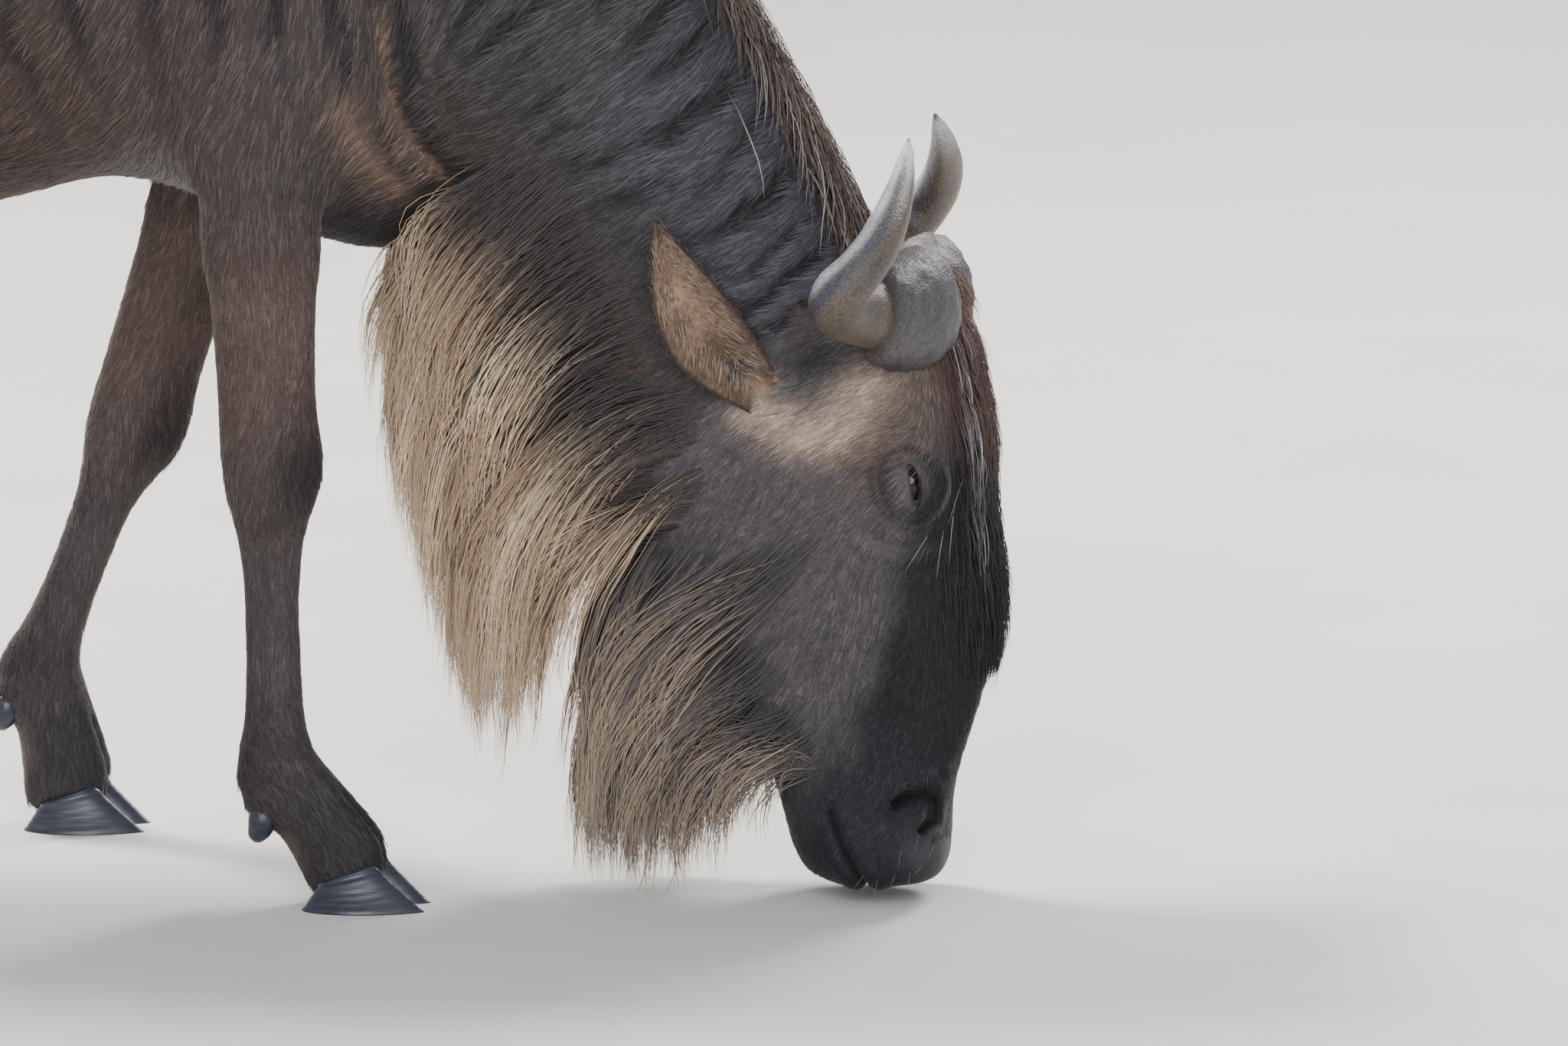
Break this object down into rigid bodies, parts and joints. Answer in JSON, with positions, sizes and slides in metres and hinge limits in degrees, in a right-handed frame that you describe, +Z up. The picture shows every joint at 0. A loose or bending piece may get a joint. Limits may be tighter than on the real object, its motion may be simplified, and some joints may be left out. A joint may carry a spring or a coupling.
{
  "type": "wildebeest",
  "caption": "Life-size still model of an adult blue wildebeest standing and grazing, head down, with horns, mane, throat fringe, chin beard and tufted tail.",
  "frame": {"origin": "middle of the model's bounding box, on the floor that the hooves stand on", "axes": "+X towards the head, +Y towards the animal's left side, +Z up"},
  "size_m": [1.8322, 0.4542, 1.283],
  "materials": {
    "coat": "short flat hair, dark grey-brown with darker upright bars on neck and shoulder",
    "face": "short hair, blackish on the nose and forehead, browner on the cheeks",
    "tail_hair": "long coarse black hair",
    "ear": "thin short hair, tan inside with a dark rim",
    "leg": "very short smooth brown hair",
    "horn": "smooth grey horn, finely ringed at the base, satin",
    "hoof": "blue-black horn, satin gloss",
    "eye": "dark brown, wet gloss"
  },
  "bodies": {
    "root": {"torso": "coat", "neck": "coat", "head": "face", "tail": "tail_hair", "ear_right": "ear", "ear_left": "ear", "eye_right": "eye", "eye_left": "eye", "horn_right": "horn", "horn_left": "horn", "foreleg_right": "leg", "foreleg_left": "leg", "hindleg_right": "leg", "hindleg_left": "leg", "hoof_fore_right_inner": "hoof", "hoof_fore_right_outer": "hoof", "hoof_fore_left_inner": "hoof", "hoof_fore_left_outer": "hoof", "hoof_hind_right_inner": "hoof", "hoof_hind_right_outer": "hoof", "hoof_hind_left_inner": "hoof", "hoof_hind_left_outer": "hoof", "dewclaw_fore_right_inner": "hoof", "dewclaw_fore_right_outer": "hoof", "dewclaw_fore_left_inner": "hoof", "dewclaw_fore_left_outer": "hoof", "dewclaw_hind_right_inner": "hoof", "dewclaw_hind_right_outer": "hoof", "dewclaw_hind_left_inner": "hoof", "dewclaw_hind_left_outer": "hoof"}
  },
  "joints": []
}
